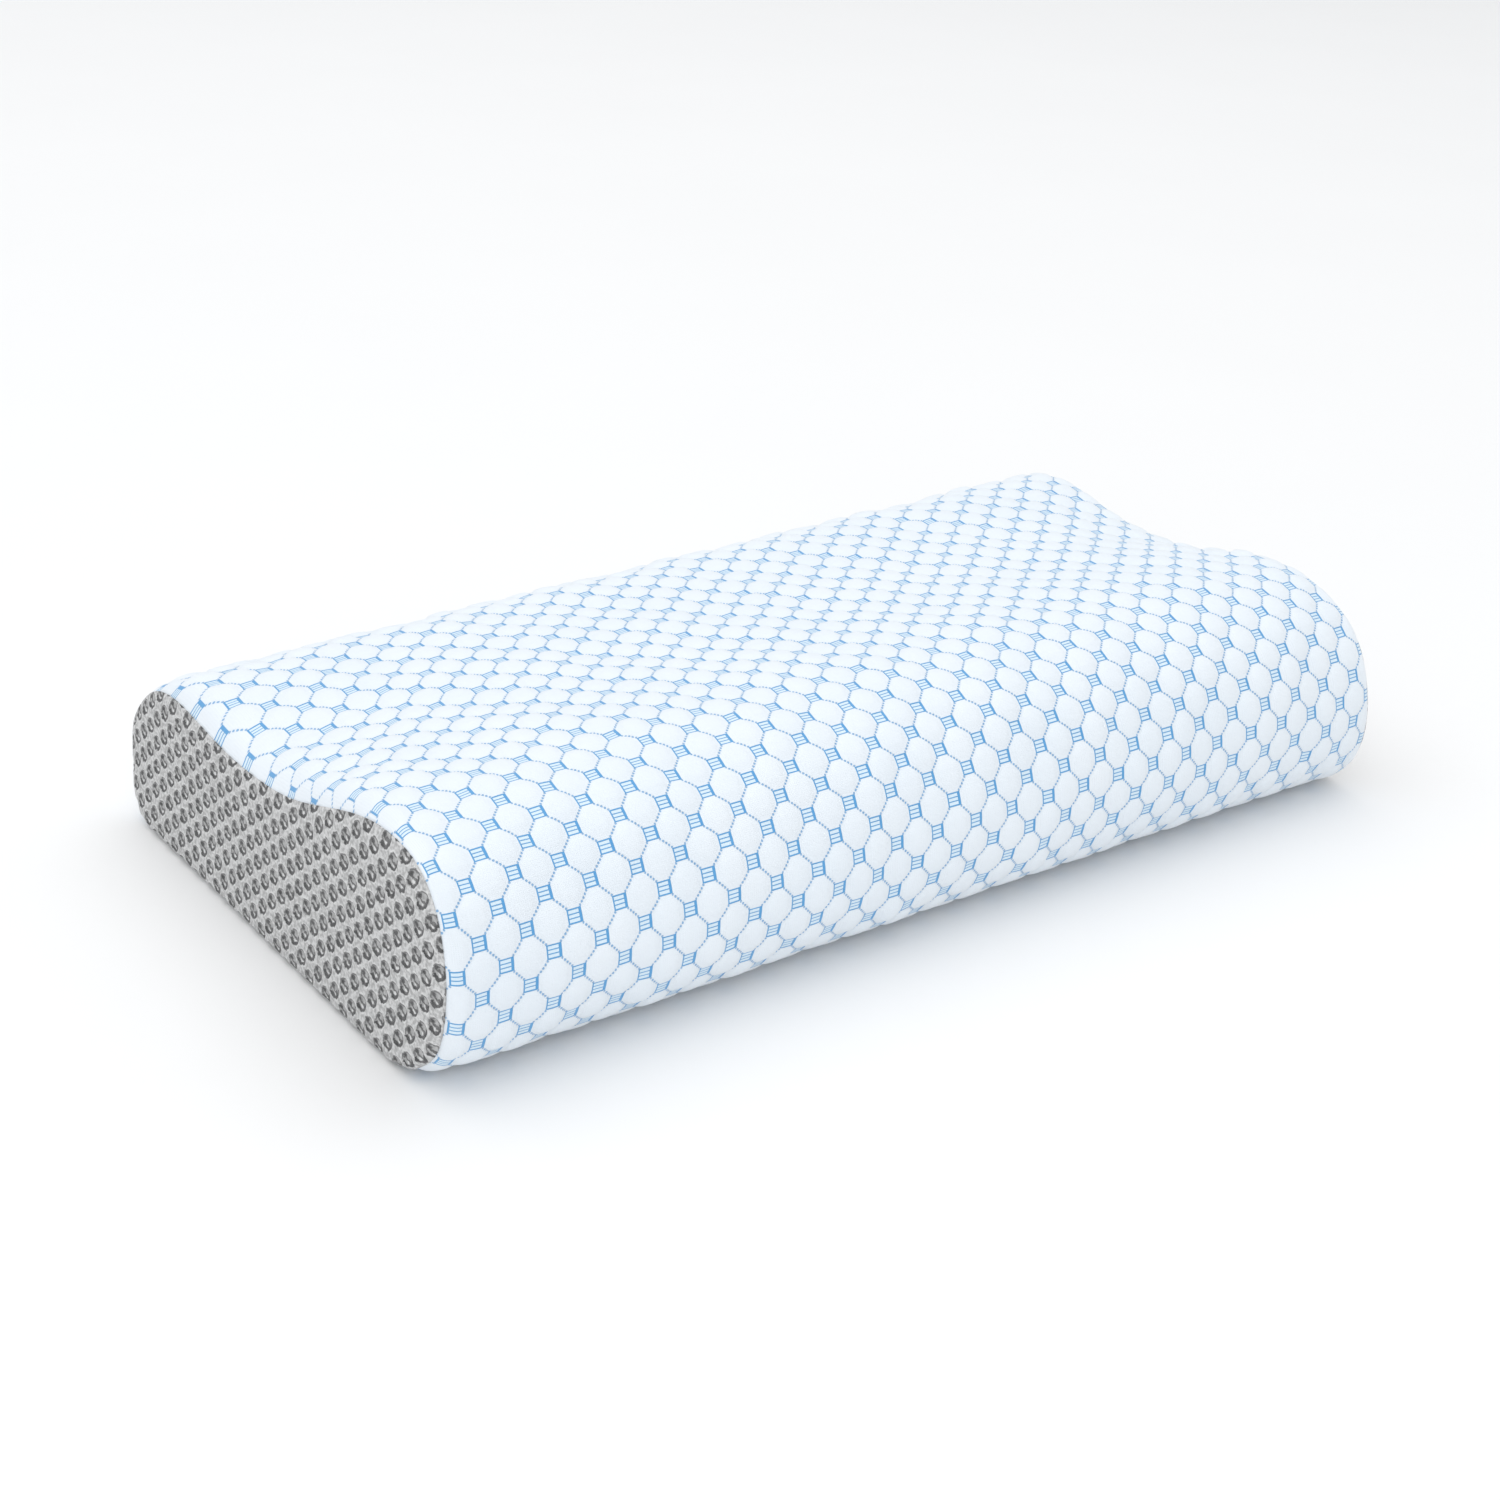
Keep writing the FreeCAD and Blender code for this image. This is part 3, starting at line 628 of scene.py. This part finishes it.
QUILT = quilt_material()
MESH = mesh_material()
WHITE_THREAD = thread_material("seam_thread_white", (0.84, 0.86, 0.90))
TAPE = tape_material()
TRICOT = tricot_material()
FOAM = foam_material()
COIL = coil_material()
METAL = metal_material()


# ---------------------------------------------------------------- the quilted wrap

def wrap_places(rows):
    """Where the wrap's mesh points lie, as arrays of x and of lattice column for each row.

    The cloth keeps its repeat along its own surface, so where it dips towards a seam its columns
    close up in x."""
    fine = np.linspace(-SEAM_X, SEAM_X, round(2 * SEAM_X) + 1)
    grid = np.broadcast_to(fine[:, None], (len(fine), len(rows)))
    surface, _ = blended(np.broadcast_to(rows[None, :] / LENGTH, grid.shape), grid)
    step = np.diff(np.concatenate([grid[..., None], surface], -1), axis=0)
    run = np.concatenate([np.zeros((1, len(rows))), np.cumsum(np.linalg.norm(step, axis=-1), 0)])
    run = run - run[len(fine) // 2]
    lean = grain_lean(quilt_row(rows)[None, :], fine[:, None])
    column = (run - lean - FIRST_COLUMN_X) / COLUMN
    low, high = LAST_ALIGNED
    aligned = np.arange(round(low * STEPS), round(high * STEPS) + 1) / STEPS
    to_left, to_right = (np.arange(1, count + 1)[:, None] / count for count in END_COLUMNS)
    left = low + (column[0] - low) * to_left[::-1]
    right = high + (column[-1] - high) * to_right
    places = np.vstack([left, np.broadcast_to(aligned[:, None], (len(aligned), len(rows))), right])
    x = np.stack([np.interp(places[:, k], column[:, k], fine) for k in range(len(rows))], 1)
    return x, places


def with_rolled_edges(x, places):
    """Adds the few columns that turn the cloth in at each seam, and says how far each is tucked."""
    tuck = np.zeros(len(x))
    for out, inward in ((0.3, 0.5), (0.6, 1.5), (0.4, 3.4)):
        x = np.vstack([x[:1] * 0 - SEAM_X - out, x, x[:1] * 0 + SEAM_X + out])
        places = np.vstack([places[:1] - 0.02, places, places[-1:] + 0.02])
        tuck = np.r_[inward, tuck, inward]
    return x, places, tuck[:, None]


def wrap_rows():
    """Distances round the section, from the middle of the zip over the top and back under."""
    low = math.ceil((SLOT_HALF + 1.0 - ROW_ZERO) / ROW * STEPS)
    high = math.floor((LENGTH - SLOT_HALF - 1.0 - ROW_ZERO) / LOW_ROW * STEPS)
    inner = [ROW_ZERO + (LOW_ROW if k > 0 else ROW) * k / STEPS for k in range(low, high + 1)]
    first = [0.0, SLOT_HALF / 2, SLOT_HALF]
    return np.array(first + inner + [LENGTH - SLOT_HALF, LENGTH - SLOT_HALF / 2])


def blended(share, x):
    """Section points and outward normals of the cover, without its quilting, at any x."""
    row = quilt_row(share * LENGTH)
    weight = bridging(np.asarray(x), row)[..., None]
    left = (np.asarray(x) < 0)[..., None]
    left_share = share - np.interp(row, *LEFT_SHIFT) / LENGTH
    end = np.where(left, sampled(LEFT, left_share), sampled(RIGHT, share))
    end_out = np.where(left, outward(LEFT, left_share), outward(RIGHT, share))
    middle = sampled(MIDDLE, share)
    back_lobe = smooth((middle[..., 0] - 15) / 70) * smooth((middle[..., 1] - 50) / 35)
    middle[..., 1] += BACK_RISE * x * back_lobe
    points = end * (1 - weight) + middle * weight
    normals = end_out * (1 - weight) + outward(MIDDLE, share) * weight
    return points, normals / np.linalg.norm(normals, axis=-1, keepdims=True)


def zip_flatness(x, along):
    """0 on the flat border sewn to the zip and in the seams past its ends, 1 away from them."""
    from_slot = np.minimum(along, LENGTH - along)
    beside = smooth((from_slot - 10.5) / 7.0)
    beyond = smooth((np.abs(x) - SLOT_END_X - PULL_REACH) / 8.0) * smooth(from_slot / 6.0)
    return np.maximum(beside, beyond)


def make_wrap():
    rows = wrap_rows()
    x, p, tuck = with_rolled_edges(*wrap_places(rows))
    along = np.broadcast_to(rows[None, :], x.shape)
    distance = np.maximum(SEAM_X - np.abs(x), 0)
    points, normals = blended(along / LENGTH, x)
    q = quilt_row(along)
    free = zip_flatness(x, along) * smooth(distance / 13.0)
    resting = smooth((points[..., 1] - 1.0) / 24.0)
    height = PUFF * puffs(p, q) * free * (0.15 + 0.85 * resting)
    height = height + undulation(x, along) * free * resting - tuck
    # the edge rounds over just before the seam
    height = height - (PANEL_INSET - 0.2) * np.clip(1 - distance / 6.5, 0, 1) ** 2
    section = points + normals * height[..., None]
    section[..., 1] = np.maximum(section[..., 1], 0.15 * (1 - puffs(p, q)) * (1 - resting))
    shape = np.concatenate([x[..., None], section], axis=-1)

    n_col, n_row = along.shape
    index = np.arange(n_col * n_row).reshape(n_col, n_row)
    faces = []
    r, t = p + q, p - q
    for c in range(n_col - 1):
        middle_x = (x[c, 0] + x[c + 1, 0]) / 2
        for k in range(n_row):
            following = (k + 1) % n_row
            in_slot = k < 2 or k >= n_row - 2
            if in_slot and abs(middle_x) < SLOT_END_X:
                continue
            a, b = index[c, k], index[c + 1, k]
            d, e = index[c, following], index[c + 1, following]
            r_middle = (r[c, k] + r[c + 1, following]) / 2 if following else r[c, k]
            t_middle = (t[c, k] + t[c + 1, following]) / 2 if following else t[c, k]
            to_r = abs(r_middle - 2 * round(r_middle / 2))
            to_t = abs(t_middle - 2 * round(t_middle / 2))
            # each square is split along the channel that it is nearer to
            if to_r < to_t:
                faces += [(a, d, b), (b, d, e)]
            else:
                faces += [(a, e, b), (a, d, e)]
    points = shape.reshape(-1, 3)
    uv = np.stack([p, q], -1).reshape(-1, 2)
    return points, faces, uv, index


def turned_edge(points, faces, uv, index):
    """Turns the cloth in along both long sides of the zip opening."""
    n_row = index.shape[1]
    inside = [c for c in range(index.shape[0]) if abs(points[index[c, 0], 0]) < SLOT_END_X + 0.3]
    steps = ((-0.35, 0.35), (-1.0, 0.5), (-2.4, 0.2))
    for edge, way in ((index[:, 2], -1), (index[:, n_row - 2], 1)):
        last = [edge[c] for c in inside]
        base = points[last]
        base_uv = uv[last]
        for inward, toward in steps:
            start = len(points)
            moved = base + np.array([0, inward, way * toward])
            points = np.vstack([points, moved])
            uv = np.vstack([uv, base_uv + [0, 0.02 * way]])
            new = list(range(start, start + len(inside)))
            for k in range(len(inside) - 1):
                corners = (last[k], last[k + 1], new[k + 1], new[k])
                faces.append(corners if way > 0 else corners[::-1])
            last = new
    return points, faces, uv


def used_only(points, faces, uv):
    """Drops the points that no face uses."""
    used = np.unique(np.concatenate([np.asarray(f) for f in faces]))
    place = np.full(len(points), -1)
    place[used] = np.arange(len(used))
    return points[used], [tuple(place[list(f)]) for f in faces], uv[used]


points, faces, uv, index = make_wrap()
points, faces, uv = turned_edge(points, faces, uv, index)
points, faces, uv = used_only(points, faces, uv)
cover = make_object("cover_quilted_wrap", points, faces, QUILT, uv)


# ---------------------------------------------------------------- the mesh end panels

def inset(curve, distance, count):
    """count even points of a section, moved in by a distance."""
    share = np.arange(count) / count
    return sampled(curve, share) - outward(curve, share) * distance


def fill_section(outline, spacing):
    """Points and triangles that fill a closed outline, with a square grid inside."""
    low, high = outline.min(0), outline.max(0)
    grid_y = np.arange(low[0], high[0], spacing)
    grid_z = np.arange(low[1], high[1], spacing)
    y, z = np.meshgrid(grid_y, grid_z, indexing="ij")
    y, z = y.ravel(), z.ravel()
    gap = distance_inside(outline, y, z)
    keep = gap > 0.55 * spacing
    inner = np.stack([y[keep], z[keep]], 1)
    everything = np.vstack([outline, inner])
    ring = [(k, (k + 1) % len(outline)) for k in range(len(outline))]
    made = delaunay_2d_cdt([Vector(v) for v in everything], ring, [], 1, 1e-5)
    flat = np.array([v[:] for v in made[0]])
    triangles = [tuple(f) for f in made[2]]
    return flat, triangles


def distance_inside(outline, y, z):
    """Distance from points to a closed outline, positive inside."""
    best = np.full(len(y), 1e9)
    inside = np.zeros(len(y), bool)
    for (y0, z0), (y1, z1) in zip(outline, np.roll(outline, -1, 0)):
        dy, dz = y1 - y0, z1 - z0
        t = np.clip(((y - y0) * dy + (z - z0) * dz) / max(dy * dy + dz * dz, 1e-12), 0, 1)
        best = np.minimum(best, np.hypot(y - y0 - t * dy, z - z0 - t * dz))
        crosses = (z0 > z) != (z1 > z)
        if crosses.any():
            cut = y0 + (z - z0) * dy / (dz if dz else 1e-12)
            inside ^= crosses & (y < cut)
    return np.where(inside, best, -best)


RIM_POINTS = 420         # points round an end panel
PANEL_GRID = 1.05        # step of the panel's inner points
PANEL_X = SEAM_X + 0.9   # where a panel's rim stands


def make_panel(side):
    """The mesh panel at one end: slightly domed, its edge turned in at the seam."""
    outline = inset(ENDS[side], PANEL_INSET, RIM_POINTS)
    outline[:, 1] = np.maximum(outline[:, 1] - PANEL_INSET * (1 - smooth(outline[:, 1] / 12)), 0.05)
    flat, triangles = fill_section(outline, PANEL_GRID)
    gap = np.maximum(distance_inside(outline, flat[:, 0], flat[:, 1]), 0)
    dome = 2.6 * (1 - np.exp(-gap / 5.0))
    dome = dome + 2.6 * (1 - smooth(flat[:, 1] / 45)) * smooth(gap / 3.0)
    sink = EYELET_DEPTH * eyelet_depth(flat[:, 0], flat[:, 1]) * smooth(gap / 3.0)
    ripple = 0.25 * np.sin(flat[:, 0] / 19.0 + 0.7) * np.sin(flat[:, 1] / 23.0) * smooth(gap / 15)
    x = PANEL_X + dome - sink + ripple
    points = np.column_stack([side * x, flat])
    faces = [t if (side > 0) else t[::-1] for t in triangles]
    # turn the edge in
    ring = [int(np.argmin(np.hypot(*(flat - o).T))) for o in outline]
    last = ring
    for inward, back in ((0.5, 0.6), (1.9, 0.8)):
        start = len(points)
        rim = inset(ENDS[side], PANEL_INSET + inward, RIM_POINTS)
        rim[:, 1] = np.maximum(rim[:, 1], 0.6 + inward)
        rim_x = np.full(RIM_POINTS, side * (PANEL_X - back))
        points = np.vstack([points, np.column_stack([rim_x, rim])])
        new = list(range(start, start + RIM_POINTS))
        for k in range(RIM_POINTS):
            following = (k + 1) % RIM_POINTS
            corners = (last[k], last[following], new[following], new[k])
            faces.append(corners if side < 0 else corners[::-1])
        last = new
    return points, faces, points[:, 1:3]


panels = {}
for name, side in (("left", -1), ("right", 1)):
    points, faces, uv = make_panel(side)
    panels[name] = make_object(f"end_panel_air_mesh_{name}", points, faces, MESH, uv)


# ---------------------------------------------------------------- seam stitches

def seam_stitches(side):
    """Stitches that join wrap and panel, down in the groove between them."""
    count = int(END_LENGTHS[side] / 4.0)
    parts = []
    for k in range(count):
        share = np.array([k + 0.08, k + 0.5, k + 0.92]) / count
        place = sampled(ENDS[side], share) - outward(ENDS[side], share) * (PANEL_INSET + 0.6)
        place[:, 1] = np.maximum(place[:, 1], 2.2)
        x = side * np.array([SEAM_X + 0.42, SEAM_X + 0.5, SEAM_X + 0.42])
        spots = np.column_stack([x, place])
        parts.append(stitch(spots[0], spots[2], spots[1], 0.24))
    return joined(parts)


threads = {}
for name, side in (("left", -1), ("right", 1)):
    points, faces = seam_stitches(side)
    threads[name] = make_object(f"seam_stitches_{name}", points, faces, WHITE_THREAD)


# ---------------------------------------------------------------- the zip

ZIP_Z = 32.0
TAPE_Y = 171.75


def make_tape(sign):
    """One zip tape: a woven strip with a thicker edge by the teeth."""
    z_near, z_far = ZIP_Z + sign * 0.45, ZIP_Z + sign * 12.45
    x = np.linspace(-258, 258, 259)
    share = np.linspace(0, 1, 13)
    grid_x, grid_s = np.meshgrid(x, share, indexing="ij")
    z = z_near + (z_far - z_near) * grid_s
    bead = 0.18 * np.exp(-((grid_s - 0.03) / 0.05) ** 2)
    y = TAPE_Y + bead + 0.05 * np.sin(grid_x / 17.0) * grid_s
    points = np.stack([grid_x, y, z], -1).reshape(-1, 3)
    index = np.arange(len(points)).reshape(grid_x.shape)
    faces = []
    for c in range(index.shape[0] - 1):
        for k in range(index.shape[1] - 1):
            corners = (index[c, k], index[c, k + 1], index[c + 1, k + 1], index[c + 1, k])
            faces.append(corners if sign > 0 else corners[::-1])
    return points, faces, np.stack([points[:, 0], points[:, 2]], 1)


def make_coil(sign):
    """The nylon coil along a tape's edge: a helix of one turn to each tooth."""
    pitch, turns = 1.25, 400
    per_turn = 10
    angle = np.linspace(0, 2 * np.pi * turns, turns * per_turn + 1)
    x = -250 + angle / (2 * np.pi) * pitch + (pitch / 2 if sign > 0 else 0)
    keep = x < 249.9
    angle, x = angle[keep], x[keep]
    y = 172.95 + 0.66 * np.sin(angle)
    z = ZIP_Z + sign * (1.35 + 0.66 * np.cos(angle))
    return tube_points(np.column_stack([x, y, z]), 0.23, sides=5)


def make_topstitch(sign):
    """The row of stitches that holds the cover's edge to the tape."""
    off_zip, half, count = sign * 8.5, 254, 158
    z = ZIP_Z + off_zip
    y = sampled(MIDDLE, off_zip / LENGTH)[0] + 0.1
    parts = []
    for k in range(count):
        start = -half + 2 * half * (k + 0.12) / count
        end = -half + 2 * half * (k + 0.88) / count
        middle = ((start + end) / 2, y + 0.2, z)
        parts.append(stitch((start, y - 0.15, z), (end, y - 0.15, z), middle, 0.22))
    return joined(parts)


tapes, coils, topstitches = {}, {}, {}
for name, sign in (("upper", 1), ("lower", -1)):
    points, faces, uv = make_tape(sign)
    tapes[name] = make_object(f"zip_tape_woven_{name}", points, faces, TAPE, uv)
    points, faces = make_coil(sign)
    coils[name] = make_object(f"zip_coil_teeth_{name}", points, faces, COIL)
    points, faces = make_topstitch(sign)
    topstitches[name] = make_object(f"zip_topstitch_{name}", points, faces, WHITE_THREAD)


# ---------------------------------------------------------------- core and liner

def core_stations(half, radius):
    """Where the core's rings stand along X and how far each is tucked in at the rounded ends."""
    angles = np.linspace(0, 1, 7) * math.pi / 2
    rounding = [(half - radius * (1 - math.cos(a)), radius * (1 - math.sin(a))) for a in angles]
    left = [(-x, tuck) for x, tuck in rounding]
    body = np.linspace(-half + radius, half - radius, 61)[1:-1]
    return left + [(x, 0.0) for x in body] + rounding[::-1]


def make_core():
    """The moulded foam core, one body with rounded ends."""
    count = 360
    stations = core_stations(half=294.0, radius=9.0)
    points = []
    for x, tuck in stations:
        section = inset(CORE, tuck, count)
        section = section + 0.15 * np.sin(np.arange(count) / 9.0 + x / 23.0)[:, None]
        points.append(np.column_stack([np.full(count, x), section]))
    points = np.vstack(points)
    faces = []
    for k in range(len(stations) - 1):
        faces += band(k * count, (k + 1) * count, count)
    for k, flip in ((0, True), (len(stations) - 1, False)):
        start = len(points)
        outline = points[k * count:(k + 1) * count, 1:3]
        flat, triangles = fill_section(outline, 7.0)
        cap_x = np.full(len(flat), points[k * count, 0])
        points = np.vstack([points, np.column_stack([cap_x, flat])])
        place = {}
        for v in range(len(flat)):
            gap = np.hypot(*(outline - flat[v]).T)
            nearest = int(np.argmin(gap))
            place[v] = k * count + nearest if gap[nearest] < 1e-3 else start + v
        for f in triangles:
            corners = tuple(place[v] for v in f)
            faces.append(corners[::-1] if flip else corners)
    return points, faces


LINER_GAP = 0.9          # how far outside the foam the liner lies
LINER_POINTS = 300


def make_liner():
    """The liner's sleeve, just outside the foam."""
    count = LINER_POINTS
    x = np.linspace(-294.4, 294.4, 120)
    share = np.arange(count) / count
    section = inset(CORE, -LINER_GAP, count)
    points, uv = [], []
    for place in x:
        slack = 0.25 * np.sin(np.arange(count) / 6.0 + place / 15.0) ** 2
        ring = section + outward(CORE, share) * slack[:, None]
        points.append(np.column_stack([np.full(count, place), ring]))
        uv.append(np.column_stack([np.full(count, place), share * CORE_LENGTH]))
    faces = []
    for k in range(len(x) - 1):
        faces += band(k * count, (k + 1) * count, count)
    return np.vstack(points), faces, np.vstack(uv)


def make_liner_end(side):
    """One flat end of the liner, with a little slack away from its rim."""
    outline = inset(CORE, -LINER_GAP, LINER_POINTS)
    flat, triangles = fill_section(outline, 5.0)
    gap = np.maximum(distance_inside(outline, flat[:, 0], flat[:, 1]), 0)
    x = 294.6 + 0.35 * np.sin(flat[:, 0] / 14.0) ** 2 * smooth(gap / 10)
    faces = [t if side > 0 else t[::-1] for t in triangles]
    points = np.column_stack([side * x, flat])
    return points, faces, flat


points, faces = make_core()
core = make_object("foam_core_moulded", points, faces, FOAM)
points, faces, uv = make_liner()
liner = make_object("liner_tricot_sleeve", points, faces, TRICOT, uv)
liner_ends = {}
for name, side in (("left", -1), ("right", 1)):
    points, faces, uv = make_liner_end(side)
    liner_ends[name] = make_object(f"liner_tricot_end_{name}", points, faces, TRICOT, uv)


# ---------------------------------------------------------------- what each piece is

def belongs(piece, node, body=BODY):
    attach(piece, body)
    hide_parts(node)


belongs(cover, "cover_wrap")
belongs(core, "foam_core")
belongs(liner, "liner_wrap")
for name in ("left", "right"):
    belongs(panels[name], f"end_panel_{name}")
    belongs(liner_ends[name], f"liner_end_{name}")
    belongs(threads[name], f"seam_thread_{name}")
for name in ("upper", "lower"):
    belongs(tapes[name], f"zipper_tape_{name}")
    belongs(coils[name], f"zipper_coil_{name}")
    belongs(topstitches[name], f"zipper_stitching_{name}")

for node in ("zipper_slider", "zipper_pull", "zipper_top_stop_upper", "zipper_top_stop_lower",
             "zipper_bottom_stop"):
    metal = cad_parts[node]
    metal.data.materials.clear()
    metal.data.materials.append(METAL)


# ---------------------------------------------------------------- floor, light and camera

def make_floor():
    bpy.ops.mesh.primitive_plane_add(size=40, location=(0, 0, -0.0004))
    floor = bpy.context.object
    floor.name = "studio_floor"
    floor.data.materials.append(floor_material())


def area_light(name, place, target, size, power):
    data = bpy.data.lights.new(name, "AREA")
    data.shape = "DISK"
    data.size = size
    data.energy = power
    light = bpy.data.objects.new(name, data)
    light.location = place
    light.rotation_euler = (Vector(target) - Vector(place)).to_track_quat("-Z", "Y").to_euler()
    bpy.context.scene.collection.objects.link(light)


def make_world():
    world = bpy.data.worlds.new("studio")
    world.use_nodes = True
    sky = world.node_tree.nodes["Background"]
    sky.inputs[0].default_value = (0.97, 0.985, 1.0, 1)
    sky.inputs[1].default_value = 0.70
    bpy.context.scene.world = world
    bpy.context.scene.view_settings.view_transform = "Standard"


def make_camera():
    """A long lens above the front left corner, rolled a little to the left."""
    place, aim, roll = Vector((-0.714, -0.946, 0.593)), Vector((-0.062, -0.067, 0.076)), 2.13
    turn = (aim - place).to_track_quat("-Z", "Y").to_matrix().to_4x4()
    turn = turn @ Matrix.Rotation(math.radians(roll), 4, "Z")
    data = bpy.data.cameras.new("camera")
    data.sensor_width = 36
    data.lens = 56.94
    camera = bpy.data.objects.new("camera", data)
    bpy.context.scene.collection.objects.link(camera)
    camera.matrix_world = Matrix.Translation(place) @ turn
    bpy.context.scene.camera = camera


make_floor()
area_light("top", (-0.4, 0.8, 5.0), (0, 0, 0), 9.0, 165)
area_light("front", (-1.2, -1.9, 1.5), (0, 0, 0.05), 1.8, 12)
make_world()
make_camera()
